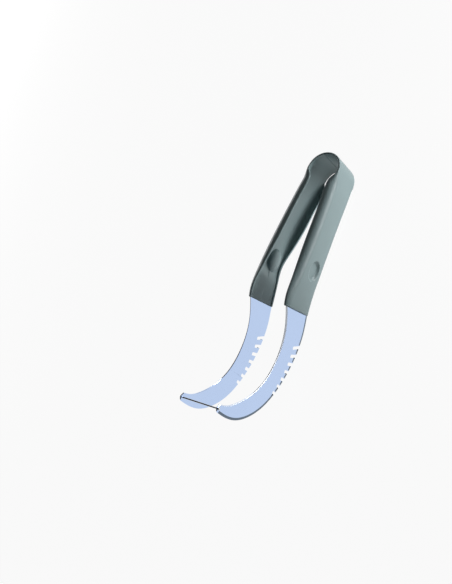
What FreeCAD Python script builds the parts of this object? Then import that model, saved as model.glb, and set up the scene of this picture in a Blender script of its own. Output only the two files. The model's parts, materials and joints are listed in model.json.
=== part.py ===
"""Melon slicer: a sprung U of plastic carries two curved blades joined at their tips by a rod.

The tool is modelled standing up, X across the two legs, -Y towards the blade tips and +Z up to
the crown of the handle. The last step lays it on its back, as it rests on a table: crown and
blade bellies down, tips up.
"""
import FreeCAD
import Part
import math
import os

V = FreeCAD.Vector

# Crown of the handle: one section swept about an axis across the tool.
CROWN_CENTRE_Z = 262.2
CROWN_RADIUS = 17.8
CROWN_HALF_ARC = 81.0
CROWN_NEAR_Y = -24.9
CROWN_FAR_Y = 10.3
CROWN_ROUNDING = 2.0
WALL = 2.4

# Leg from the crown down: height, outer face, near edge, far edge, rounding of the outer corners.
# The near edge faces the blade tips, the far edge the bellies.
LEG = [
    (262.2, 17.98, -25.0, 10.5, 2.0),
    (256.0, 18.92, -25.4, 10.3, 4.6),
    (249.0, 20.12, -25.5, 9.7, 7.0),
    (237.0, 21.45, -25.5, 8.8, 7.0),
    (222.0, 22.65, -25.5, 8.2, 7.0),
    (200.0, 24.15, -25.5, 8.2, 7.0),
    (178.0, 25.3, -25.5, 9.0, 7.0),
    (158.0, 25.85, -25.5, 10.6, 7.0),
    (146.0, 25.8, -25.4, 12.5, 7.0),
    (136.0, 25.3, -25.1, 15.6, 7.0),
    (127.0, 24.65, -23.2, 19.2, 6.5),
    (118.0, 23.6, -18.8, 23.2, 5.8),
]
SKIN_FLATS = 5
INNER_REACH = 6.0

# Above the leg the hollow of the channel rises into the eye of the crown: angle, depth, rounding.
HOLLOW_LEAD = [(62.0, 6.0), (80.0, 3.4)]
HOLLOW_ROUNDING = 0.6
HOLLOW_FLATS = 2

# Rims of the channel walls seen from the front: near wall whole, far wall scooped for the finger.
NECK_RIM = [(15.7, 261.4), (14.3, 258.0), (11.8, 254.6), (10.4, 250.0), (10.4, 245.0), (11.6, 232.0)]
NEAR_RIM = NECK_RIM + [(13.8, 200.0), (15.7, 175.0), (18.2, 150.0), (20.1, 118.0)]
FAR_RIM = NECK_RIM + [(12.5, 214.0), (14.8, 196.0), (18.1, 181.0), (21.1, 168.0), (20.9, 159.0),
                      (19.4, 149.0), (20.8, 118.0)]
RIM_CHANGE_Y = -9.0

# Channel floor: it stops at the solid pad that holds the tang of the blade.
PAD_TOP_Z = 150.0
RAMP_TOP_Z = 161.0
RAMP_DEPTH = 9.0
LEG_FLOOR_X = 23.2

# Thumb oval: a dish in the outer face, and behind it a domed boss on the channel floor. Each has
# rows of depth, width and length; the first row lies past the face, so that the shapes overlap.
OVAL_Y = -5.6
OVAL_SIDES = 24
OVAL_LEAN = 3.0
DISH_X = 25.6
DISH_Z = 165.3
DISH = [(-0.8, 17.3, 21.8), (2.2, 12.4, 16.9)]
BOSS_X = 23.2
BOSS_Z = 166.3
BOSS = [(-0.8, 19.4, 24.6), (2.8, 14.8, 19.6), (4.4, 7.6, 12.0)]

# End of each leg: a slanted cut.
END_NEAR = (-21.7, 121.5)
END_FAR = (18.9, 128.3)

# Blades: 1.2 mm plate in planes either side of the slice, concave edge near, notches far.
BLADE_OUTER_X = 21.9
BLADE_THICKNESS = 1.2
CONCAVE_EDGE = [(-18.6, 122.0), (-8.4, 109.0), (-1.4, 94.5), (1.7, 75.0), (-1.0, 54.5),
                (-11.0, 35.4), (-27.0, 19.6), (-40.0, 11.7), (-50.6, 8.9)]
CONVEX_EDGE = [(-48.4, 1.1), (-36.0, 1.4), (-20.0, 4.8), (-1.5, 15.9), (12.6, 31.6), (21.8, 50.6),
               (27.3, 73.0), (28.3, 92.0), (25.0, 112.5), (18.8, 128.3)]
TIP_CORNER = (-52.6, 5.2)
TIP_ROUND = (-51.5, 2.5)
BEVEL_WIDTH = 1.4
BEVEL_DEPTH = 0.8

# Serrations: slots spaced evenly about a centre, all leaning the same way from the radius.
NOTCHES = 7
NOTCH_CENTRE = (-57.4, 74.0)
NOTCH_REACH = 78.5
NOTCH_FIRST_ANGLE = 15.0
NOTCH_PITCH = -5.67
NOTCH_RAKE = 11.0
NOTCH_WIDTH = 3.2
NOTCH_CORNER = 1.1

# Tang of each blade, inside the pad, with two holes that the plastic flows through.
BEND_Z = 121.0
TANG_NEAR_Y = -16.0
TANG_FAR_Y = 7.0
TANG_TOP_Z = 147.0
TANG_HOLE_RADIUS = 2.5
TANG_HOLES = [(-10.5, 137.0), (1.0, 137.0)]
TANG_CORNER = 3.0

# Rod between the tips, with a peened head at each end.
ROD_Y = -50.2
ROD_Z = 4.6
ROD_RADIUS = 0.75
ROD_CLEARANCE = 0.1
HEAD_RADIUS = 1.4
HEAD_HEIGHT = 0.9
HEAD_CHAMFER = 0.5
HEAD_PLAY = 0.15

# Helper solids reach past the object: by SPAN to each side, and down to a height below the legs.
SPAN = 60.0
FOOT_Z = 100.0

# Closer than this, two edges count as one.
TOUCH = 0.05

# How far the tool tips forward when it lies on crown and blades.
REST_TILT = 5.57


def spline(points, start=None):
    """Smooth edge through points, with its first direction where that is given."""
    curve = Part.BSplineCurve()
    if start is None:
        curve.interpolate(points)
    else:
        others = len(points) - 1
        curve.interpolate(Points=points, Tangents=[start] + [V(0, 0, 0)] * others,
                          TangentFlags=[True] + [False] * others)
    return curve.toShape()


def front(x, z):
    """Point of a front view."""
    return V(x, 0, z)


def side(y, z):
    """Point of a side view."""
    return V(0, y, z)


def mirrored(shape):
    """The same shape on the other side of the tool."""
    return shape.mirror(V(0, 0, 0), V(1, 0, 0))


def crown_point(radius, angle):
    """Point of a front-view circle about the centre of the crown, at an angle from its crest."""
    a = math.radians(angle)
    return front(radius * math.sin(a), CROWN_CENTRE_Z + radius * math.cos(a))


def section(angle, height, reach, near, far, rounding, flats):
    """Closed outline of one section: straight sides, and outer corners rounded in narrow flats."""
    a = math.radians(angle)
    outward = V(math.sin(a), 0, math.cos(a))

    def at(radius, y):
        return V(0, y, height) + outward * radius

    def corner(edge, turn, share):
        t = math.pi / 2 * share
        return at(reach - rounding * (1 - math.sin(t)), edge + turn * rounding * (1 - math.cos(t)))

    def rounded(edge, turn):
        points = [corner(edge, turn, k / flats) for k in range(flats + 1)]
        return [Part.makeLine(p, q) for p, q in zip(points, points[1:])]

    low = INNER_REACH
    outline = [Part.makeLine(at(low, near), corner(near, 1, 0))]
    outline += rounded(near, 1)
    outline.append(Part.makeLine(corner(near, 1, 1), corner(far, -1, 1)))
    outline += rounded(far, -1)[::-1]
    outline.append(Part.makeLine(corner(far, -1, 0), at(low, far)))
    outline.append(Part.makeLine(at(low, far), at(low, near)))
    return Part.Wire(outline)


def crown_section(angle):
    """Section of the crown at an angle from its crest."""
    return section(angle, CROWN_CENTRE_Z, CROWN_RADIUS, CROWN_NEAR_Y, CROWN_FAR_Y, CROWN_ROUNDING,
                   SKIN_FLATS)


def crown_block():
    """Filled front half of the crown, under its outer skin."""
    crown = Part.Face(crown_section(0)).revolve(V(0, 0, CROWN_CENTRE_Z), V(0, 1, 0), CROWN_HALF_ARC)
    rows = [crown_section(CROWN_HALF_ARC), section(90.0, *LEG[0], SKIN_FLATS)]
    return crown.fuse(Part.makeLoft(rows, True, True))


def leg_block():
    """Filled front leg, under its outer skin."""
    return Part.makeLoft([section(90.0, *row, SKIN_FLATS) for row in LEG], True, True)


def hollow_block():
    """Filled channel of the front leg, one wall inside the skin."""
    near = CROWN_NEAR_Y + WALL
    far = CROWN_FAR_Y - WALL
    rows = [section(angle, CROWN_CENTRE_Z, CROWN_RADIUS - depth, near, far, HOLLOW_ROUNDING, HOLLOW_FLATS)
            for angle, depth in HOLLOW_LEAD]
    for height, reach, near, far, rounding in LEG:
        inner = max(rounding - WALL, HOLLOW_ROUNDING)
        rows.append(section(90.0, height, reach - WALL, near + WALL, far - WALL, inner, HOLLOW_FLATS))
    return Part.makeLoft(rows, True, True)


def between_legs(rim, y_low, y_high):
    """Space inside the rim of the front leg, up to the inside of the crown."""
    radius = CROWN_RADIUS - WALL
    first, last = (crown_point(radius, angle) for angle in (CROWN_HALF_ARC, -CROWN_HALF_ARC / 4))
    a = math.radians(CROWN_HALF_ARC)
    down = V(math.cos(a), 0, -math.sin(a))
    line = spline([first] + [front(x, z) for x, z in rim], down)
    arc = Part.Arc(first, crown_point(radius, CROWN_HALF_ARC / 2), last).toShape()
    foot = front(*rim[-1])
    base = front(last.x, foot.z)
    outline = [line, arc, Part.makeLine(last, base), Part.makeLine(base, foot)]
    face = Part.Face(Part.Wire(Part.__sortEdges__(outline)))
    face.translate(V(0, y_low, 0))
    return face.extrude(V(0, y_high - y_low, 0))


def under_slant(points, x_low, x_high):
    """Solid below a slanted line of the side view."""
    (y0, z0), (y1, z1) = points
    slope = (z1 - z0) / (y1 - y0)
    corners = [side(-SPAN, z0 + slope * (-SPAN - y0)), side(SPAN, z0 + slope * (SPAN - y0)),
               side(SPAN, FOOT_Z), side(-SPAN, FOOT_Z)]
    face = Part.Face(Part.makePolygon(corners + corners[:1]))
    face.translate(V(x_low, 0, 0))
    return face.extrude(V(x_high - x_low, 0, 0))


def pad():
    """Solid end of the channel with a ramp up from its floor."""
    corners = [front(0, FOOT_Z), front(SPAN, FOOT_Z), front(SPAN, RAMP_TOP_Z),
               front(LEG_FLOOR_X, RAMP_TOP_Z), front(LEG_FLOOR_X - RAMP_DEPTH, PAD_TOP_Z),
               front(0, PAD_TOP_Z)]
    face = Part.Face(Part.makePolygon(corners + corners[:1]))
    face.translate(V(0, -SPAN, 0))
    return face.extrude(V(0, 2 * SPAN, 0))


def ellipse(x, width, length):
    """Oval outline round an axis across the tool, at x."""
    turns = [2 * math.pi * k / OVAL_SIDES for k in range(OVAL_SIDES)]
    points = [V(x, width / 2 * math.sin(t), length / 2 * math.cos(t)) for t in turns]
    return Part.makePolygon(points + points[:1])


def oval_body(x, z, rows):
    """Oval body that narrows row by row from x inwards, leaning as the face of the leg does."""
    shape = Part.makeLoft([ellipse(x - depth, width, length) for depth, width, length in rows], True, True)
    shape.rotate(V(x, 0, 0), V(0, 1, 0), -math.degrees(math.atan2(OVAL_LEAN, 100.0)))
    shape.translate(V(0, OVAL_Y, z))
    return shape


def moulded(block):
    """The front half of the crown or the front leg, cut from its block."""
    body = block.cut(hollow_block().cut(pad()))
    body = body.cut(between_legs(NEAR_RIM, -SPAN, RIM_CHANGE_Y))
    return body.cut(between_legs(FAR_RIM, RIM_CHANGE_Y, SPAN))


def plate(outline, x=BLADE_OUTER_X, thickness=BLADE_THICKNESS):
    """Flat plate of a side-view outline, its outer face at x."""
    face = Part.Face(Part.Wire(Part.__sortEdges__(outline)))
    face.translate(V(x - thickness, 0, 0))
    return face.extrude(V(thickness, 0, 0))


def notches():
    """Slots of the serrated edge, along +Y about the centre and then turned to their places."""
    box = Part.makeBox(2 * BLADE_THICKNESS, SPAN, NOTCH_WIDTH)
    box.translate(V(-BLADE_THICKNESS, 0, -NOTCH_WIDTH / 2))
    ends = [e for e in box.Edges if e.BoundBox.YMax < TOUCH and e.BoundBox.XLength > BLADE_THICKNESS]
    slot = box.makeFillet(NOTCH_CORNER, ends)
    slots = []
    for k in range(NOTCHES):
        angle = NOTCH_FIRST_ANGLE + k * NOTCH_PITCH
        turned = slot.copy()
        turned.rotate(V(0, 0, 0), V(1, 0, 0), angle + NOTCH_RAKE)
        a = math.radians(angle)
        y, z = NOTCH_CENTRE
        turned.translate(V(BLADE_OUTER_X, y + NOTCH_REACH * math.cos(a), z + NOTCH_REACH * math.sin(a)))
        slots.append(turned)
    return slots


def tang_plate():
    """Tang with rounded top corners and its two holes."""
    box = Part.makeBox(BLADE_THICKNESS, TANG_FAR_Y - TANG_NEAR_Y, TANG_TOP_Z - BEND_Z)
    box.translate(V(BLADE_OUTER_X - BLADE_THICKNESS, TANG_NEAR_Y, BEND_Z))
    corners = [e for e in box.Edges if e.BoundBox.ZMin > TANG_TOP_Z - TOUCH and e.BoundBox.YLength < TOUCH]
    box = box.makeFillet(TANG_CORNER, corners)
    for y, z in TANG_HOLES:
        box = box.cut(Part.makeCylinder(TANG_HOLE_RADIUS, SPAN, V(0, y, z), V(1, 0, 0)))
    return box


def blade_with_tang():
    """The whole front blade as it is stamped and ground."""
    concave = spline([side(*p) for p in CONCAVE_EDGE])
    convex = spline([side(*p) for p in CONVEX_EDGE])
    tip = Part.makeLine(side(*CONCAVE_EDGE[-1]), side(*TIP_CORNER))
    nose = Part.Arc(side(*TIP_CORNER), side(*TIP_ROUND), side(*CONVEX_EDGE[0])).toShape()
    shoulder = Part.makeLine(side(*CONVEX_EDGE[-1]), side(*CONCAVE_EDGE[0]))
    blade = plate([concave, tip, nose, convex, shoulder])
    ground = [e for e in blade.Edges if is_outer(e) and lies_on(e, concave)]
    blade = blade.makeChamfer(BEVEL_DEPTH, BEVEL_WIDTH, ground)
    for slot in notches():
        blade = blade.cut(slot)
    hole = Part.makeCylinder(ROD_RADIUS + ROD_CLEARANCE, SPAN, V(0, ROD_Y, ROD_Z), V(1, 0, 0))
    return blade.cut(hole).fuse(tang_plate()).removeSplitter()


def is_outer(edge):
    """True for an edge in the outer face of the front blade."""
    return abs(edge.BoundBox.XMin - BLADE_OUTER_X) < TOUCH and edge.BoundBox.XLength < TOUCH


def lies_on(edge, line):
    """True where the middle of the edge is on the line, seen from the side."""
    middle = edge.valueAt((edge.FirstParameter + edge.LastParameter) / 2)
    return line.distToShape(Part.Vertex(0, middle.y, middle.z))[0] < TOUCH


def slab(z_low, z_high):
    """Everything between two heights."""
    return Part.makeBox(4 * SPAN, 4 * SPAN, z_high - z_low, V(-2 * SPAN, -2 * SPAN, z_low))


def head():
    """Head peened on the front end of the rod."""
    seat = V(BLADE_OUTER_X + HEAD_PLAY, ROD_Y, ROD_Z)
    disc = Part.makeCylinder(HEAD_RADIUS, HEAD_HEIGHT, seat, V(1, 0, 0))
    rim = [e for e in disc.Edges if e.BoundBox.XMin > seat.x + HEAD_HEIGHT - TOUCH]
    return disc.makeChamfer(HEAD_CHAMFER, rim)


def tip_rod():
    """Rod through both tips, headed at each end."""
    reach = BLADE_OUTER_X + HEAD_PLAY + HEAD_HEIGHT / 4
    rod = Part.makeCylinder(ROD_RADIUS, 2 * reach, V(-reach, ROD_Y, ROD_Z), V(1, 0, 0))
    return rod.fuse(head()).fuse(mirrored(head())).removeSplitter()


def make_parts():
    """Every piece of the tool, standing up."""
    blade = blade_with_tang()
    upper = slab(BEND_Z, TANG_TOP_Z + SPAN)
    tang = blade.common(upper)
    crown = moulded(crown_block()).common(slab(CROWN_CENTRE_Z, CROWN_CENTRE_Z + SPAN))
    leg = moulded(leg_block()).fuse(oval_body(BOSS_X, BOSS_Z, BOSS))
    leg = leg.cut(oval_body(DISH_X, DISH_Z, DISH))
    leg = leg.cut(under_slant([END_NEAR, END_FAR], -SPAN, SPAN)).cut(tang)
    return {
        "handle_arch": crown.fuse(mirrored(crown)).removeSplitter(),
        "front_handle_leg": leg,
        "rear_handle_leg": mirrored(leg),
        "front_blade_tang": tang,
        "rear_blade_tang": mirrored(tang),
        "front_blade": blade.cut(upper),
        "rear_blade": mirrored(blade.cut(upper)),
        "tip_rod": tip_rod(),
    }


def lay_down(shapes):
    """Turn the tool onto its back and stand it centred on the floor."""
    for shape in shapes:
        shape.rotate(V(0, 0, 0), V(1, 0, 0), -(90.0 + REST_TILT))
    box = Part.makeCompound(shapes).optimalBoundingBox()
    shift = V(-box.Center.x, -box.Center.y, -box.ZMin)
    for shape in shapes:
        shape.translate(shift)
    print("laid down with shift", shift, "size", box.XLength, box.YLength, box.ZLength)


parts = make_parts()
lay_down(list(parts.values()))
os.makedirs("parts", exist_ok=True)
for name, shape in parts.items():
    solid = shape.Solids[0]
    print(name, len(shape.Solids), shape.isValid(), round(solid.Volume, 1))
    solid.exportStep("parts/" + name + ".step")
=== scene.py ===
"""Looks of the melon slicer: a satin plastic handle, polished blades and a steel rod.

Shapes are worked out in millimetres and degrees in the tool's standing frame (X across the legs,
-Y to the side that the blade tips point to, +Z up to the crown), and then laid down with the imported
model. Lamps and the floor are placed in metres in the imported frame.
"""
import json
import math

import bmesh
import bpy
import numpy as np
from mathutils import Matrix, Vector


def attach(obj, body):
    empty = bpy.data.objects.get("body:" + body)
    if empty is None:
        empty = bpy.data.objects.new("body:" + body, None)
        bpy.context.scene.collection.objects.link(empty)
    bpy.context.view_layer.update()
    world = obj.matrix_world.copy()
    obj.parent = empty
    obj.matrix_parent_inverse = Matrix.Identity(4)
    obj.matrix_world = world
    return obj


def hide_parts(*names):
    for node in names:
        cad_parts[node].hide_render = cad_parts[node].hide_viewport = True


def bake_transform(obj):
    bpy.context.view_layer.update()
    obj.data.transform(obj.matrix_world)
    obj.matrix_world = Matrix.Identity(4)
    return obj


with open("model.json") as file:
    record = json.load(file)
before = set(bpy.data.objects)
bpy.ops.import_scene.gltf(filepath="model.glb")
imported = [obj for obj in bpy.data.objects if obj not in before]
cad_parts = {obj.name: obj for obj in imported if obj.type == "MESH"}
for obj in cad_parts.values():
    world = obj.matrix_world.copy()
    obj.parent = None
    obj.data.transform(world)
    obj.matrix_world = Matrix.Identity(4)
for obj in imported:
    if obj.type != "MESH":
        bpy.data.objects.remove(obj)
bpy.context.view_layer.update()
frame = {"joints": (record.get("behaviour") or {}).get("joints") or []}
MM = 0.001

# Camera of the photograph, in the standing frame; the range that it sees is in metres.
CAMERA_AT = (751.6, -1044.8, -180.6)
CAMERA_RIGHT = (0.7747, 0.4866, 0.4038)
CAMERA_UP = (-0.2004, -0.4167, 0.8867)
CAMERA_BACK = (0.5997, -0.7678, -0.2253)
CAMERA_LENS = 86.15
CAMERA_SENSOR = 36.0
CAMERA_RANGE = (0.05, 60.0)

# Hinge of the front leg in the standing frame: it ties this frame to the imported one.
HINGE = (15.3, -7.0, 262.2)


def standing_to_packed():
    """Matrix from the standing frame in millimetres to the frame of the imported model."""
    hinge = next(j for j in frame["joints"] if j["name"] == "front_leg_flex")
    _, c, s = hinge["axis"]
    turn = Matrix(((1, 0, 0), (0, c, -s), (0, s, c)))
    shift = Vector(hinge["pos_m"]) - turn @ Vector(HINGE) * MM
    return Matrix.Translation(shift) @ turn.to_4x4() @ Matrix.Scale(MM, 4)


LAY = standing_to_packed()


def add_camera():
    """Camera at the photograph's place, turn and focal length."""
    data = bpy.data.cameras.new("camera")
    data.sensor_fit = "VERTICAL"
    data.sensor_height = CAMERA_SENSOR
    data.lens = CAMERA_LENS
    data.clip_start, data.clip_end = CAMERA_RANGE
    camera = bpy.data.objects.new("camera", data)
    axes = Matrix((CAMERA_RIGHT, CAMERA_UP, CAMERA_BACK)).transposed()
    turn = (LAY.to_3x3() @ axes).to_quaternion()
    camera.matrix_world = Matrix.Translation(LAY @ Vector(CAMERA_AT)) @ turn.to_matrix().to_4x4()
    bpy.context.scene.collection.objects.link(camera)
    bpy.context.scene.camera = camera


# Materials

PLASTIC_DARK = (0.150, 0.205, 0.212)
PLASTIC_LIGHT = (0.168, 0.226, 0.233)
PLASTIC_ROUGHNESS = (0.40, 0.48)
STEEL_DARK_SHARE = 0.96

# Stretch of the polishing lines: upright on the blades, across from leg to leg on the rod.
UPRIGHT = (1.0, 1.0, 0.04)
ACROSS = (0.05, 1.0, 1.0)

# Steels, some with painted reflection in their colour: colour, roughness from and to, stretch of
# the lines, strength of the lines.
STEELS = {
    # Polished: its blue tint is a painted reflection.
    "polished_steel": ((0.52, 0.65, 0.90), (0.06, 0.11), UPRIGHT, 0.02),
    "bevel_steel": ((0.62, 0.66, 0.72), (0.42, 0.50), UPRIGHT, 0.02),
    # Grind: near black steel, a painted dark reflection along the convex edge.
    "painted_dark_grind_steel": ((0.13, 0.17, 0.22), (0.22, 0.30), UPRIGHT, 0.05),
    "drawn_steel": ((0.62, 0.64, 0.67), (0.14, 0.22), ACROSS, 0.05),
}
BLADE_STEELS = ("polished_steel", "bevel_steel", "painted_dark_grind_steel")


def new_material(name):
    """Node material with a principled shader; returns it with its tree and shader."""
    material = bpy.data.materials.new(name)
    material.use_nodes = True
    tree = material.node_tree
    return material, tree, tree.nodes["Principled BSDF"]


def add_node(tree, kind, inputs=None, **settings):
    """Node with its settings and plain input values."""
    node = tree.nodes.new(kind)
    for key, value in settings.items():
        setattr(node, key, value)
    for key, value in (inputs or {}).items():
        node.inputs[key].default_value = value
    return node


def plastic():
    """Slate-green satin plastic with a fine moulded grain."""
    material, tree, shader = new_material("slate_plastic")
    where = add_node(tree, "ShaderNodeTexCoord")
    cloud = add_node(tree, "ShaderNodeTexNoise", {"Scale": 45.0, "Detail": 3.0})
    grain = add_node(tree, "ShaderNodeTexNoise", {"Scale": 2600.0, "Detail": 2.0})
    tone = add_node(tree, "ShaderNodeMix", data_type="RGBA")
    tone.inputs["A"].default_value = (*PLASTIC_DARK, 1)
    tone.inputs["B"].default_value = (*PLASTIC_LIGHT, 1)
    smoothest, roughest = PLASTIC_ROUGHNESS
    rough = add_node(tree, "ShaderNodeMapRange", {"To Min": smoothest, "To Max": roughest})
    bump = add_node(tree, "ShaderNodeBump", {"Strength": 0.10, "Distance": 0.0001})
    tree.links.new(where.outputs["Object"], cloud.inputs["Vector"])
    tree.links.new(where.outputs["Object"], grain.inputs["Vector"])
    tree.links.new(cloud.outputs["Fac"], tone.inputs["Factor"])
    tree.links.new(cloud.outputs["Fac"], rough.inputs["Value"])
    tree.links.new(grain.outputs["Fac"], bump.inputs["Height"])
    tree.links.new(tone.outputs["Result"], shader.inputs["Base Color"])
    tree.links.new(rough.outputs["Result"], shader.inputs["Roughness"])
    tree.links.new(bump.outputs["Normal"], shader.inputs["Normal"])
    return material


def steel(name):
    """One of the stainless steels, with faint polishing lines along its stretched axis."""
    colour, (smoothest, roughest), stretch, line_strength = STEELS[name]
    material, tree, shader = new_material(name)
    shader.inputs["Metallic"].default_value = 1.0
    where = add_node(tree, "ShaderNodeTexCoord")
    place = add_node(tree, "ShaderNodeMapping", {"Scale": stretch})
    lines = add_node(tree, "ShaderNodeTexNoise", {"Scale": 900.0, "Detail": 4.0})
    cloud = add_node(tree, "ShaderNodeTexNoise", {"Scale": 30.0, "Detail": 2.0})
    tone = add_node(tree, "ShaderNodeMix", data_type="RGBA")
    tone.inputs["A"].default_value = (*[c * STEEL_DARK_SHARE for c in colour], 1)
    tone.inputs["B"].default_value = (*colour, 1)
    rough = add_node(tree, "ShaderNodeMapRange", {"To Min": smoothest, "To Max": roughest})
    bump = add_node(tree, "ShaderNodeBump", {"Strength": line_strength, "Distance": 0.00005})
    tree.links.new(where.outputs["Object"], place.inputs["Vector"])
    tree.links.new(where.outputs["Object"], cloud.inputs["Vector"])
    tree.links.new(place.outputs["Vector"], lines.inputs["Vector"])
    tree.links.new(cloud.outputs["Fac"], tone.inputs["Factor"])
    tree.links.new(lines.outputs["Fac"], rough.inputs["Value"])
    tree.links.new(lines.outputs["Fac"], bump.inputs["Height"])
    tree.links.new(tone.outputs["Result"], shader.inputs["Base Color"])
    tree.links.new(rough.outputs["Result"], shader.inputs["Roughness"])
    tree.links.new(bump.outputs["Normal"], shader.inputs["Normal"])
    return material


def stage_material(name, colour, glow):
    """White for the camera and in reflections; the share that doesn't glow takes the shadows."""
    material, tree, shader = new_material(name)
    tree.nodes.remove(shader)
    path = add_node(tree, "ShaderNodeLightPath")
    glossy = add_node(tree, "ShaderNodeMath", operation="MAXIMUM")
    seen = add_node(tree, "ShaderNodeMath", operation="MAXIMUM")
    matt = add_node(tree, "ShaderNodeBsdfDiffuse", {"Color": (*colour, 1)})
    light = add_node(tree, "ShaderNodeEmission", {"Color": (1, 1, 1, 1), "Strength": 1.0})
    share = add_node(tree, "ShaderNodeMath", operation="MULTIPLY")
    share.inputs[1].default_value = glow
    mix = add_node(tree, "ShaderNodeMixShader")
    tree.links.new(path.outputs["Is Glossy Ray"], glossy.inputs[0])
    tree.links.new(path.outputs["Is Transmission Ray"], glossy.inputs[1])
    tree.links.new(path.outputs["Is Camera Ray"], seen.inputs[0])
    tree.links.new(glossy.outputs[0], seen.inputs[1])
    tree.links.new(seen.outputs[0], share.inputs[0])
    tree.links.new(share.outputs[0], mix.inputs["Fac"])
    tree.links.new(matt.outputs["BSDF"], mix.inputs[1])
    tree.links.new(light.outputs["Emission"], mix.inputs[2])
    tree.links.new(mix.outputs["Shader"], tree.nodes["Material Output"].inputs["Surface"])
    return material


# Curves and meshes

def curve(points, end_slope=None):
    """Cubic spline through (position, value) points, with its slope at the last one if given."""
    points = sorted(points)
    x = np.array([p[0] for p in points], float)
    y = np.array([p[1] for p in points], float)
    n = len(x)
    step = np.diff(x)
    rise = np.diff(y) / step
    system = np.zeros((n, n))
    right = np.zeros(n)
    for i in range(1, n - 1):
        system[i, i - 1:i + 2] = step[i - 1], 2 * (step[i - 1] + step[i]), step[i]
        right[i] = 6 * (rise[i] - rise[i - 1])
    system[0, 0] = 1
    system[-1, -1] = 1
    if end_slope is not None:
        system[-1, -2:] = step[-1], 2 * step[-1]
        right[-1] = 6 * (end_slope - rise[-1])
    bend = np.linalg.solve(system, right)

    def value(at):
        at = np.clip(np.asarray(at, float), x[0], x[-1])
        i = np.clip(np.searchsorted(x, at) - 1, 0, n - 2)
        h = step[i]
        a = (x[i + 1] - at) / h
        b = (at - x[i]) / h
        return (a * y[i] + b * y[i + 1]
                + ((a ** 3 - a) * bend[i] + (b ** 3 - b) * bend[i + 1]) * h * h / 6)

    return value


def smooth_line(points, spacing):
    """Evenly spaced points on a smooth line through points of a plane."""
    points = np.array(points, float)
    at = np.concatenate([[0], np.cumsum(np.linalg.norm(np.diff(points, axis=0), axis=1))])
    count = max(2, round(at[-1] / spacing))
    t = np.linspace(0, at[-1], count + 1)
    return np.stack([curve(list(zip(at, points[:, k])))(t) for k in (0, 1)], 1)


def ease(value, low, high):
    """0 below low, 1 above high and smooth between; low may be the larger."""
    t = np.clip((np.asarray(value, float) - low) / (high - low), 0, 1)
    return t * t * (3 - 2 * t)


def mesh_object(name, points, faces, material, sharp_angle):
    """Object from points of the standing frame, smooth but for edges past the sharp angle."""
    mesh = bpy.data.meshes.new(name)
    mesh.from_pydata([LAY @ Vector(p) for p in points], [], faces)
    mesh.validate()
    mesh.polygons.foreach_set("use_smooth", [True] * len(mesh.polygons))
    mesh.set_sharp_from_angle(angle=math.radians(sharp_angle))
    mesh.materials.append(material)
    mesh.update()
    made = bpy.data.objects.new(name, mesh)
    bpy.context.scene.collection.objects.link(made)
    return made


# Handle. A step below SMALL is none, and NOT_ZERO keeps a division safe.

SMALL = 0.05
NOT_ZERO = 1e-9
WALL = 2.4
HANDLE_SHARP = 50

# The crown is a bent band; it goes over into the legs at the spring.
CROWN_Z = 262.2
CROWN_RADIUS = 17.69
CROWN_HALF_ARC = 81.0
CROWN_NEAR_Y = -24.9
CROWN_FAR_Y = 10.25
SPRING_Z = CROWN_Z + CROWN_RADIUS * math.cos(math.radians(CROWN_HALF_ARC))
SPRING_X = CROWN_RADIUS * math.sin(math.radians(CROWN_HALF_ARC))

# Leg: height, and there the outer face's X and the near and far edge's Y.
LEG = [
    (256.0, 18.92, -25.4, 10.28),
    (249.0, 20.1, -25.5, 9.7),
    (237.0, 21.45, -25.5, 8.8),
    (222.0, 22.65, -25.5, 8.2),
    (200.0, 24.15, -25.5, 8.2),
    (178.0, 25.28, -25.5, 9.0),
    (158.0, 25.8, -25.5, 10.6),
    (146.0, 25.74, -25.4, 12.5),
    (136.0, 25.25, -25.1, 15.6),
    (127.0, 24.6, -23.2, 19.2),
    (118.0, 23.6, -18.8, 23.2),
]
outer_x = curve([(SPRING_Z, SPRING_X)] + [(z, x) for z, x, _, _ in LEG],
                -1 / math.tan(math.radians(CROWN_HALF_ARC)))
near_y = curve([(SPRING_Z, CROWN_NEAR_Y)] + [(z, near) for z, _, near, _ in LEG])
far_y = curve([(SPRING_Z, CROWN_FAR_Y)] + [(z, far) for z, _, _, far in LEG])

# Height and X of the rims: both share the neck under the crown and part below it.
NECK = [(266.0, 15.2), (261.4, 15.7), (258.0, 14.3), (254.6, 11.8), (250.0, 10.4), (245.0, 10.4),
        (232.0, 11.6)]
near_rim = curve(NECK + [(200, 13.8), (175, 15.7), (150, 18.2), (118, 20.1)])
far_rim = curve(NECK + [(214, 12.5), (196, 14.8), (181, 18.1), (168, 21.1), (159, 20.9),
                        (149, 19.4), (118, 20.8)])

# Rounding of the outer corners, rims and channel, in the crown and in the leg. The channel's corner
# takes no more than its share of the channel's depth, and the face of the leg is slightly crowned.
# A corner's curve has its control points at the share ROUND_HANDLE of its reach.
CROWN_CORNER = 0.9
LEG_CORNER = 7.0
FAR_CORNER = 4.2
CROWN_RIM = 0.7
LEG_RIM = 0.8
CHANNEL_CORNER = 4.6
CHANNEL_SHARE = 0.9
FACE_CROWN = 0.7
ROUND_HANDLE = 0.448

# Points on a section: round its rim, outer corner and channel corner, and along each of its lines,
# which starts with a stretch of closer points.
RIM_POINTS = 8
CORNER_POINTS = 18
CHANNEL_POINTS = 14
FINE_LENGTH = 3.0
FINE_POINTS = 14
LINE_POINTS = 40

# The eye of the crown widens towards both faces, over its inner skin alone, and a witness line runs
# along its ceiling.
LEAD_DEPTH = 4.4
LEAD_STEP = 0.35
LEAD_SKIN = (1.2, 2.2)
WITNESS_ANGLE = 20.0
WITNESS_HALF_WIDTH = 1.3
WITNESS_HEIGHT = 0.35

# The crown's section turns into the leg's between these heights, and the moulding flexes there.
NECK_TOP_Z = 263.0
NECK_LOW_Z = 248.0

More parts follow.
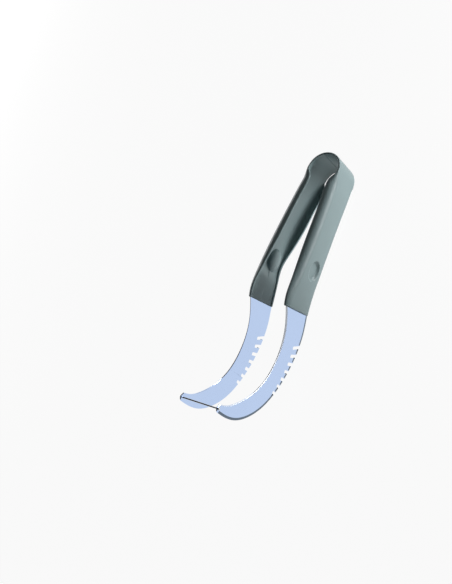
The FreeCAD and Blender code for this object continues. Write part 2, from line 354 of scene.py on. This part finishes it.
# The handle is made of rings. They are these steps apart, the fine ones in the neck and at the thumb
# oval, and the counts are those at the seam, round the crown and at the leg's end.
RING_STEP = 0.9
FINE_STEP = 0.45
FINE_NECK_Z = NECK_LOW_Z - 4
FINE_OVAL_Z = (148, 180)
SEAM_RINGS = 5
CROWN_RINGS = 58
END_RINGS = 5

# The pad rises from the channel's floor to a step under the rims, and stays outside its limit in X.
PAD_TOP_Z = 146.0
PAD_FOOT_Z = 163.0
PAD_STEP = 1.1
PAD_LIMIT_X = 20.35

# The leg's end is finely rounded and slants up from the near edge to the far one, at (Y, Z). The
# stations above it slant more and more; a few rounds find where their slant meets both edges.
LEG_END_Z = 121.5
END_NEAR_Y = -21.7
END_FAR = (18.9, 128.3)
END_SLOPE = (END_FAR[1] - LEG_END_Z) / (END_FAR[0] - END_NEAR_Y)
SLANT_FROM_Z = 152.0
SLANT_ROUNDS = 4
END_ROUND = 0.5

# The thumb oval is a dish outside and a dome inside; each moves the skin on its own side only. The
# dish is flat up to its floor's share and then rises.
OVAL_Y = -5.6
DISH_Z = 165.3
DISH_HALF = (8.0, 10.25)
DISH_DEPTH = 2.6
DISH_FLOOR = 0.72
DISH_POWER = 1.4
BOSS_Z = 166.3
BOSS_HALF = (9.2, 11.8)
BOSS_HEIGHT = 4.4
BOSS_POWER = 2.4
# How deep the skin reaches that they move: under the outer face, and past the channel's bed.
OUTER_SKIN = 3.0
INNER_SKIN = 2.0


def corner(before, at, after, r_before, r_after, count):
    """Points round a corner, from r_before ahead of it to r_after past it."""
    u = (before - at) / max(np.linalg.norm(before - at), NOT_ZERO)
    w = (after - at) / max(np.linalg.norm(after - at), NOT_ZERO)
    a, d = at + u * r_before, at + w * r_after
    b, c = at + u * r_before * ROUND_HANDLE, at + w * r_after * ROUND_HANDLE
    t = np.linspace(0, 1, count)[:, None]
    return (1 - t) ** 3 * a + 3 * (1 - t) ** 2 * t * b + 3 * (1 - t) * t * t * c + t ** 3 * d


def resample(path, fine_length, fine_count, count):
    """Points along a path, closer together over its first stretch."""
    path = np.vstack(path)
    length = np.concatenate([[0], np.cumsum(np.linalg.norm(np.diff(path, axis=0), axis=1))])
    at = np.concatenate([np.linspace(0, fine_length, fine_count, endpoint=False),
                         np.linspace(fine_length, length[-1], count)])
    return np.stack([np.interp(at, length, path[:, k]) for k in (0, 1)], 1)


def half_paths(edge, middle, depth, floor, side, leg):
    """Outer and inner line of one side of a section, from its rim to its middle.

    A point is (y, depth under the outer face). side is 1 for the near wall and -1 for the far one;
    leg goes from 0 in the crown to 1 in the leg.
    """
    def at(y, v):
        return np.array([y, v])

    rim = CROWN_RIM + (LEG_RIM - CROWN_RIM) * leg
    round_outer = CROWN_CORNER + (LEG_CORNER - CROWN_CORNER) * leg if side > 0 else FAR_CORNER
    wall_y = edge + side * WALL
    start = at(edge + side * WALL / 2, depth)
    drop = min(round_outer, depth - rim - SMALL)
    outer = [start[None],
             corner(at(wall_y, depth), at(edge, depth), at(edge, 0), rim, rim, RIM_POINTS),
             corner(at(edge, depth), at(edge, 0), at(middle, 0), drop, round_outer, CORNER_POINTS),
             at(middle, 0)[None]]
    inner = [start[None]]
    step = depth - floor
    if step > SMALL:
        top = min(rim, step / 2)
        bed = min(CHANNEL_CORNER, max(step - top, 0) * CHANNEL_SHARE)
        foot = at(wall_y, floor)
        inner += [corner(at(edge, depth), at(wall_y, depth), foot, top, top, RIM_POINTS),
                  corner(at(wall_y, depth), foot, at(middle, floor), bed, bed, CHANNEL_POINTS)]
    inner.append(at(middle, floor)[None])
    paths = []
    for path in (outer, inner):
        path = resample(path, FINE_LENGTH, FINE_POINTS, LINE_POINTS)
        lead = np.clip(1 - np.abs(path[:, 0] - edge) / LEAD_DEPTH, 0, 1) * (1 - leg)
        path[:, 1] -= LEAD_STEP * lead * ease(path[:, 1], *LEAD_SKIN)
        paths.append(path)
    return paths


def join_paths(near_paths, far_paths):
    """Closed loop of (y, depth) and whether each point lies outside."""
    pieces = (near_paths[0], far_paths[0][::-1][1:], far_paths[1][1:], near_paths[1][::-1][1:-1])
    outside = np.concatenate([np.full(len(p), k < 2) for k, p in enumerate(pieces)])
    return np.vstack(pieces), outside


def oval_share(y, z, centre_z, half):
    """0 at the centre of an oval, 1 on its edge and more outside."""
    return np.hypot((y - OVAL_Y) / half[0], (z - centre_z) / half[1])


def thumb_oval(y, z):
    """How far the dish is pressed into the leg at places, and how far its dome stands up inside."""
    wall = np.clip((oval_share(y, z, DISH_Z, DISH_HALF) - DISH_FLOOR) / (1 - DISH_FLOOR), 0, 1)
    share = np.minimum(oval_share(y, z, BOSS_Z, BOSS_HALF), 1.0)
    return DISH_DEPTH * (1 - wall ** DISH_POWER), BOSS_HEIGHT * np.sqrt(1 - share ** BOSS_POWER)


def leg_section(z):
    """Rows of (x, y, z) round the front leg at a station; low stations slant with the leg's end."""
    slant = END_SLOPE * float(ease(z, SLANT_FROM_Z, LEG_END_Z))

    def height(y):
        return z + slant * (y - END_NEAR_Y)

    near, far = near_y(z), far_y(z)
    for _ in range(SLANT_ROUNDS):
        near, far = float(near_y(height(near))), float(far_y(height(far)))
    middle = (near + far) / 2
    leg = float(ease(z, NECK_TOP_Z, NECK_LOW_Z))
    pad = float(ease(z, PAD_FOOT_Z, PAD_TOP_Z))
    paths = []
    depths = [max(float(outer_x(height(edge)) - rim(height(edge))), WALL)
              for edge, rim in ((near, near_rim), (far, far_rim))]
    for edge, depth, side in ((near, depths[0], 1), (far, depths[1], -1)):
        bed = max(depth - PAD_STEP, float(outer_x(height(edge))) - PAD_LIMIT_X)
        floor = WALL + max(bed - WALL, 0) * pad
        outer, inner = half_paths(edge, middle, depth, floor, side, leg)
        inner[:, 1] += pad * (depths[1] - depths[0]) * (inner[:, 0] - edge) / (far - near)
        paths.append((outer, inner))
    loop, outside = join_paths(*paths)
    y, v = loop[:, 0], loop[:, 1]
    tall = height(y)
    bulge = ((y - middle) / (far - middle)) ** 2 * np.clip(1 - v / LEG_CORNER, 0, 1)
    v = v + np.where(outside, FACE_CROWN * leg * bulge, 0)
    beds = [inner[-1, 1] for _, inner in paths]
    skin = np.where(outside, v < OUTER_SKIN, v < np.interp(y, [near, far], beds) + INNER_SKIN)
    dish, dome = thumb_oval(y, tall)
    domed = np.where(skin & (dome > 0), np.maximum(v, WALL + dome), v)
    v = np.where(outside, v + skin * dish, domed)
    return np.stack([outer_x(tall) - v, y, tall], 1)


def crown_section(angle, seam):
    """Rows of (x, y, z) round the crown at an angle from its crest; the witness is at the seam."""
    middle = (CROWN_NEAR_Y + CROWN_FAR_Y) / 2
    loop, outside = join_paths(half_paths(CROWN_NEAR_Y, middle, WALL, WALL, 1, 0.0),
                               half_paths(CROWN_FAR_Y, middle, WALL, WALL, -1, 0.0))
    y, v = loop[:, 0], loop[:, 1]
    ridge = max(0.0, 1 - abs(angle - seam) / WITNESS_HALF_WIDTH)
    on_ceiling = ~outside & (y > CROWN_NEAR_Y + LEAD_DEPTH) & (y < CROWN_FAR_Y - LEAD_DEPTH)
    radius = CROWN_RADIUS - v - np.where(on_ceiling, WITNESS_HEIGHT * ridge, 0)
    a = math.radians(angle)
    return np.stack([radius * math.sin(a), y, CROWN_Z + radius * math.cos(a)], 1)


def shrink(ring, distance):
    """The ring drawn in by a distance, seen along the leg."""
    tangent = np.roll(ring, -1, 0) - np.roll(ring, 1, 0)
    normal = np.stack([tangent[:, 1], -tangent[:, 0]], 1)
    normal /= np.linalg.norm(normal, axis=1)[:, None]
    x, y = ring[:, 0], ring[:, 1]
    if np.sum(x * np.roll(y, -1) - np.roll(x, -1) * y) < 0:
        normal = -normal
    moved = ring.copy()
    moved[:, :2] -= normal * distance
    return moved


def half_rings(seam):
    """Rings of the front half, from its seam in the crown to the end of the leg."""
    fine = seam + WITNESS_HALF_WIDTH * np.linspace(0, 1, SEAM_RINGS)
    angles = np.concatenate([fine, np.linspace(fine[-1], CROWN_HALF_ARC, CROWN_RINGS)[1:]])
    rings = [crown_section(angle, seam) for angle in angles]
    z = SPRING_Z - RING_STEP
    while z > LEG_END_Z + END_ROUND:
        rings.append(leg_section(z))
        close = z > FINE_NECK_Z or FINE_OVAL_Z[0] < z < FINE_OVAL_Z[1]
        z -= FINE_STEP if close else RING_STEP
    for t in np.radians(np.linspace(0, 90, END_RINGS)):
        rings.append(shrink(leg_section(LEG_END_Z + END_ROUND * (1 - math.sin(t))),
                            END_ROUND * (1 - math.cos(t))))
    return rings


def handle_half(name, seam, mirror, material):
    """One side of the moulding, as a tube of rings closed by the end of the leg."""
    rings = half_rings(seam)
    if mirror:
        rings = [ring * (-1, 1, 1) for ring in rings]
    size = len(rings[0])
    faces = []
    for k in range(len(rings) - 1):
        for i in range(size):
            j = (i + 1) % size
            faces.append((k * size + i, (k + 1) * size + i, (k + 1) * size + j, k * size + j))
    faces.append(tuple(range((len(rings) - 1) * size, len(rings) * size))[::-1])
    if not mirror:
        faces = [face[::-1] for face in faces]
    return mesh_object(name, np.vstack(rings), faces, material, HANDLE_SHARP)


def add_handle(material):
    """Both halves of the moulding, each bending from the crown into its leg."""
    for name, body, side, seam in (("handle_front_half", "front_leg", 1, -WITNESS_ANGLE),
                                   ("handle_rear_half", "rear_leg", -1, WITNESS_ANGLE)):
        half = handle_half(name, seam, side < 0, material)
        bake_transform(half)
    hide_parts("handle_arch", "front_handle_leg")
    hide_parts("rear_handle_leg")


# Blades: the outer face lies at X, the thickness goes inwards, and the outline is in Y and Z. The
# concave edge runs down to the tip and the convex one up from it; the nose goes round between them,
# from the tip's corner and through one point more.

PLATE_X = 21.9
PLATE = 1.2
BLADE_SHARP = 20
CONCAVE = [(-18.6, 122.0), (-8.4, 109.0), (-1.4, 94.5), (1.7, 75.0), (-1.0, 54.5), (-11.0, 35.4),
           (-27.0, 19.6), (-40.0, 11.7), (-50.6, 8.9)]
CONVEX = [(-48.4, 1.11), (-36.0, 1.42), (-20.0, 4.8), (-1.5, 15.9), (12.6, 31.6), (21.8, 50.6),
          (27.3, 73.0), (28.26, 92.0), (25.0, 112.5), (18.8, 128.3)]
TIP_CORNER = (-52.58, 5.2)
TIP_ROUND = (-51.48, 2.5)
TIP_POINTS = 8
# Points on both edges are this far apart.
SPACING = 0.8
# The plate is cut into strips at these heights, closer where it flexes.
BLADE_ROWS = [*range(5, 112, 3), *range(112, 125), 130, 138]
# Points of a blade closer than this are one, and a face that looks more sideways than this is flat.
WELD = 0.03
FLAT = 0.9999
# The ground bevel has its full size by the handle, narrows down to its low share between these
# heights, and ends in half of that at the tip.
BEVEL_WIDTH = 1.4
BEVEL_DEPTH = 0.8
BEVEL_LOW = 0.35
BEVEL_RISE = (60.0, 112.0)
BEVEL_TIP = 0.5
# A fine grind follows the convex edge, its steel painted near black as a painted dark reflection,
# and all other edges are finely broken. Where the outline turns more sharply than this cosine, the
# mitre of the edges grows no further.
GRIND_WIDTH = 2.4
GRIND_DEPTH = 0.3
EDGE = 0.14
MITRE_LIMIT = -0.2

# The notches are one slot turned about a centre, first the one by the handle.
NOTCHES = 7
NOTCH_CENTRE = (-57.4, 74.0)
NOTCH_REACH = 78.5
NOTCH_FIRST_ANGLE = 15.0
NOTCH_PITCH = -5.67
NOTCH_RAKE = 11.0
NOTCH_WIDTH = 3.2
NOTCH_CORNER = 1.1
NOTCH_CORNER_POINTS = 6

# The shoulder of the blade reaches a little into the leg, and the tang goes on inside it.
SEAT = 0.8
SHOULDER_STEP = 0.1
TANG = [(7.0, 128.0), (7.0, 144.0), (4.0, 147.0), (-13.0, 147.0), (-16.0, 144.0), (-16.0, 124.0)]


def arc_through(first, middle, last, count):
    """Points on the circle through three points, ends left out."""
    (ax, ay), (bx, by), (cx, cy) = first, middle, last
    d = 2 * (ax * (by - cy) + bx * (cy - ay) + cx * (ay - by))
    a, b, c = ax * ax + ay * ay, bx * bx + by * by, cx * cx + cy * cy
    centre = np.array([(a * (by - cy) + b * (cy - ay) + c * (ay - by)) / d,
                       (a * (cx - bx) + b * (ax - cx) + c * (bx - ax)) / d])
    turns = np.unwrap([math.atan2(*(np.array(p) - centre)[::-1]) for p in (first, middle, last)])
    at = np.linspace(turns[0], turns[2], count + 2)[1:-1]
    radius = np.linalg.norm(np.array(first) - centre)
    return centre + radius * np.stack([np.cos(at), np.sin(at)], 1)


def slot_path():
    """Outline of one notch from its low mouth to its high one: u into the gap, w across it."""
    half = NOTCH_WIDTH / 2
    turns = np.radians(np.linspace(0, 90, NOTCH_CORNER_POINTS))
    low = [(NOTCH_CORNER * (1 - math.sin(t)), -half + NOTCH_CORNER * (1 - math.cos(t)))
           for t in turns]
    return low + [(u, -w) for u, w in low[::-1]]


def cut_notches(line):
    """The convex edge, tip first, with its notches, and 1 where it is ground and 0 elsewhere."""
    cut = []
    share_of = []
    kept = 0
    for k in reversed(range(NOTCHES)):
        turn = math.radians(NOTCH_FIRST_ANGLE + k * NOTCH_PITCH)
        lean = turn + math.radians(NOTCH_RAKE)
        root = np.array(NOTCH_CENTRE) + NOTCH_REACH * np.array([math.cos(turn), math.sin(turn)])
        along = np.array([math.cos(lean), math.sin(lean)])
        across = np.array([-along[1], along[0]])
        u, w = (line - root) @ along, (line - root) @ across
        mouths = []
        for side in (-NOTCH_WIDTH / 2, NOTCH_WIDTH / 2):
            i = next(i for i in range(len(w) - 1) if w[i] <= side < w[i + 1] and u[i] > 0)
            share = (side - w[i]) / (w[i + 1] - w[i])
            mouths.append((i, line[i] + share * (line[i + 1] - line[i])))
        (low, low_point), (high, high_point) = mouths
        slot = [root + a * along + b * across for a, b in slot_path()]
        cut += list(line[kept:low + 1]) + [low_point] + slot + [high_point]
        share_of += [1] * (low + 1 - kept) + [0] * (len(slot) + 2)
        kept = high + 1
    share_of += [1] * (len(line) - kept)
    return np.array(cut + list(line[kept:])), np.array(share_of, float)


def blade_outline():
    """Closed outline (y, z), how wide and deep its edge is cut back, and where on bevel and grind."""
    concave = smooth_line(CONCAVE, SPACING)
    convex, convex_share = cut_notches(smooth_line(CONVEX, SPACING))
    nose = arc_through(TIP_CORNER, TIP_ROUND, CONVEX[0], TIP_POINTS)
    shoulder = [(CONVEX[-1][0] - SHOULDER_STEP, CONVEX[-1][1] + SEAT), *TANG,
                (CONCAVE[0][0] - SHOULDER_STEP, CONCAVE[0][1] + SEAT)]
    points = np.vstack([concave, [TIP_CORNER], nose, convex, shoulder])
    bevel = np.zeros(len(points))
    bevel[:len(concave)] = BEVEL_LOW + (1 - BEVEL_LOW) * ease(concave[:, 1], *BEVEL_RISE)
    bevel[len(concave) - 1] *= BEVEL_TIP
    first = len(concave) + 1 + len(nose)
    grind = np.zeros(len(points))
    grind[first:first + len(convex)] = convex_share
    width = EDGE + (BEVEL_WIDTH - EDGE) * bevel + (GRIND_WIDTH - EDGE) * grind
    depth = EDGE + (BEVEL_DEPTH - EDGE) * bevel + (GRIND_DEPTH - EDGE) * grind
    return points, width, depth, bevel > 0, grind > 0


def drawn_in(points, distance):
    """The closed outline drawn in by a distance at each point."""
    before = points - np.roll(points, 1, 0)
    after = np.roll(points, -1, 0) - points
    before /= np.linalg.norm(before, axis=1)[:, None]
    after /= np.linalg.norm(after, axis=1)[:, None]
    left = np.stack([-before[:, 1] - after[:, 1], before[:, 0] + after[:, 0]], 1)
    y, z = points.T
    if np.sum(y * np.roll(z, -1) - np.roll(y, -1) * z) < 0:
        left = -left
    reach = 1 + np.clip(np.sum(before * after, 1), MITRE_LIMIT, 1)
    return points + left * (distance / reach)[:, None]


def blade_mesh(side):
    """Points, faces and steels of one blade, with the grind's steel painted dark: flat faces, cut
    back edge, fine edges all round.
    """
    outline, width, depth, bevelled, ground = blade_outline()
    size = len(outline)
    fine = np.full(size, EDGE)
    inner_face = np.full(size, PLATE_X - PLATE)
    loops = [(drawn_in(outline, width), np.full(size, PLATE_X)), (outline, PLATE_X - depth),
             (outline, inner_face + fine), (drawn_in(outline, fine), inner_face)]
    rings = [np.column_stack([side * x, loop]) for loop, x in loops]
    faces = [tuple(range(size)), tuple(range(4 * size - 1, 3 * size - 1, -1))]
    for k in range(3):
        for i in range(size):
            j = (i + 1) % size
            faces.append((k * size + i, (k + 1) * size + i, (k + 1) * size + j, k * size + j))
    # Faces on the grind take the near black steel, a painted dark reflection.
    on_bevel = bevelled & np.roll(bevelled, -1)
    on_painted_dark_grind = ground & np.roll(ground, -1)
    finish_and_painted_dark = np.zeros(len(faces), int)
    finish_and_painted_dark[2:2 + size] = np.where(on_bevel, BLADE_STEELS.index("bevel_steel"),
                                  BLADE_STEELS.index("painted_dark_grind_steel") * on_painted_dark_grind)
    return np.vstack(rings), faces, finish_and_painted_dark


def add_blade(name, side, materials):
    """One blade with its tang, cut into strips that lie closer where it leaves the leg."""
    points, faces, finish_and_painted_dark = blade_mesh(side)
    blade = mesh_object(name, points, faces, materials[0], BLADE_SHARP)
    for material in materials[1:]:
        blade.data.materials.append(material)
    blade.data.polygons.foreach_set("material_index", finish_and_painted_dark)
    work = bmesh.new()
    work.from_mesh(blade.data)
    bmesh.ops.recalc_face_normals(work, faces=work.faces)
    upward = LAY.to_3x3() @ Vector((0, 0, 1))
    for z in BLADE_ROWS:
        bmesh.ops.bisect_plane(work, geom=work.verts[:] + work.edges[:] + work.faces[:],
                               plane_co=LAY @ Vector((0, 0, z)), plane_no=upward)
    bmesh.ops.remove_doubles(work, verts=work.verts[:], dist=WELD * MM)
    for face in work.faces:
        face.smooth = abs(face.normal.x) < FLAT
    work.to_mesh(blade.data)
    work.free()
    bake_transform(blade)
    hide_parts(name.replace("_plate", ""), name.replace("_plate", "_tang"))


# Rod: it flares a little at the heads, and a head is a domed disc with a broken lower edge. The
# angles are the first and last of the dome's rows and their count.

ROD_Y = -50.2
ROD_Z = 4.6
ROD_RADIUS = 0.75
ROD_SIDES = 32
ROD_SHARP = 40
FLARE_LENGTH = 0.3
FLARE = 0.06
HEAD_RADIUS = 1.4
HEAD_HEIGHT = 0.9
HEAD_PLAY = 0.15
HEAD_EDGE = 0.1
DOME_FROM = 0.25
DOME_POWER = 0.8
DOME_ANGLES = (12, 88, 9)


def rod_profile():
    """Half profile of the rod from its middle to the top of a head: (x, radius)."""
    seat = PLATE_X + HEAD_PLAY
    rows = [(0.0, ROD_RADIUS), (seat - FLARE_LENGTH, ROD_RADIUS), (seat, ROD_RADIUS + FLARE),
            (seat, HEAD_RADIUS - HEAD_EDGE), (seat + HEAD_EDGE, HEAD_RADIUS)]
    for t in np.radians(np.linspace(*DOME_ANGLES)):
        rows.append((seat + DOME_FROM + (HEAD_HEIGHT - DOME_FROM) * math.sin(t),
                     HEAD_RADIUS * math.cos(t) ** DOME_POWER))
    return rows


def add_rod(material):
    """Rod with a domed, peened head at each end."""
    half = rod_profile()
    rows = [(-x, r) for x, r in half[:0:-1]] + half
    sides = ROD_SIDES
    points = [(-half[-1][0], ROD_Y, ROD_Z)]
    for x, r in rows:
        for k in range(sides):
            t = 2 * math.pi * k / sides
            points.append((x, ROD_Y + r * math.cos(t), ROD_Z + r * math.sin(t)))
    points.append((half[-1][0], ROD_Y, ROD_Z))
    faces = []
    for i in range(len(rows) - 1):
        for k in range(sides):
            a, b = 1 + i * sides + k, 1 + i * sides + (k + 1) % sides
            faces.append((a, a + sides, b + sides, b))
    last = len(points) - 1
    for k in range(sides):
        faces.append((0, 1 + k, 1 + (k + 1) % sides))
        faces.append((last, last - sides + (k + 1) % sides, last - sides + k))
    rod = mesh_object("peened_rod", points, faces, material, ROD_SHARP)
    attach(rod, "tip_rod")
    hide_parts("tip_rod")


# Stage

FLOOR_HALF = 6.0
FLOOR_COLOUR = (0.80, 0.80, 0.80)
FLOOR_GLOW = 0.94
SKY_COLOUR = (0.9, 0.95, 1.0)
SKY_STRENGTH = 0.03

# Soft panels: name, place, the point it faces, width, height and watts.
PANELS = [
    ("right_panel", (0.36, 0.33, 0.06), (0, 0.14, 0.04), 0.5, 0.10, 2.1),
    ("left_panel", (-0.60, 0.05, 0.07), (0, 0.03, 0.04), 0.7, 0.13, 1.9),
    ("crown_panel", (0.3, 0.8, 0.08), (0, 0.03, 0.04), 0.5, 0.14, 1.2),
]
# Light that comes up from the table: name, X, Y, width, height and watts.
GLOWS = [
    ("table_glow", 0.19, 0.20, 0.36, 0.44, 0.65),
    ("gap_glow", 0.003, 0.06, 0.03, 0.09, 0.034),
]
GLOW_Z = 0.0015


def add_floor():
    """Large pale floor under the tool."""
    material = stage_material("floor_white", FLOOR_COLOUR, FLOOR_GLOW)
    mesh = bpy.data.meshes.new("floor")
    half = FLOOR_HALF
    mesh.from_pydata([(-half, -half, 0), (half, -half, 0), (half, half, 0), (-half, half, 0)], [],
                     [(0, 1, 2, 3)])
    mesh.materials.append(material)
    floor = bpy.data.objects.new("floor", mesh)
    bpy.context.scene.collection.objects.link(floor)


def add_panel(name, at, look, width, height, power):
    """Soft rectangular lamp that the camera doesn't see."""
    data = bpy.data.lights.new(name, "AREA")
    data.shape = "RECTANGLE"
    data.size = width
    data.size_y = height
    data.energy = power
    lamp = bpy.data.objects.new(name, data)
    lamp.location = at
    lamp.rotation_euler = (Vector(look) - Vector(at)).to_track_quat("-Z", "Y").to_euler()
    lamp.visible_camera = False
    bpy.context.scene.collection.objects.link(lamp)
    return lamp


def add_light():
    """Low soft panels round the tool, a soft glow from the table beside it, and a dim sky."""
    world = bpy.data.worlds.new("world")
    bpy.context.scene.world = world
    world.use_nodes = True
    sky = world.node_tree.nodes["Background"]
    sky.inputs["Color"].default_value = (*SKY_COLOUR, 1)
    sky.inputs["Strength"].default_value = SKY_STRENGTH
    for panel in PANELS:
        add_panel(*panel)
    for name, x, y, width, height, power in GLOWS:
        glow = add_panel(name, (x, y, GLOW_Z), (x, y, 1), width, height, power)
        glow.visible_glossy = False
    bpy.context.scene.view_settings.view_transform = "Standard"


add_camera()
add_floor()
add_light()
add_handle(plastic())
blade_steels = [steel(name) for name in BLADE_STEELS]
add_blade("front_blade_plate", 1, blade_steels)
add_blade("rear_blade_plate", -1, blade_steels)
add_rod(steel("drawn_steel"))
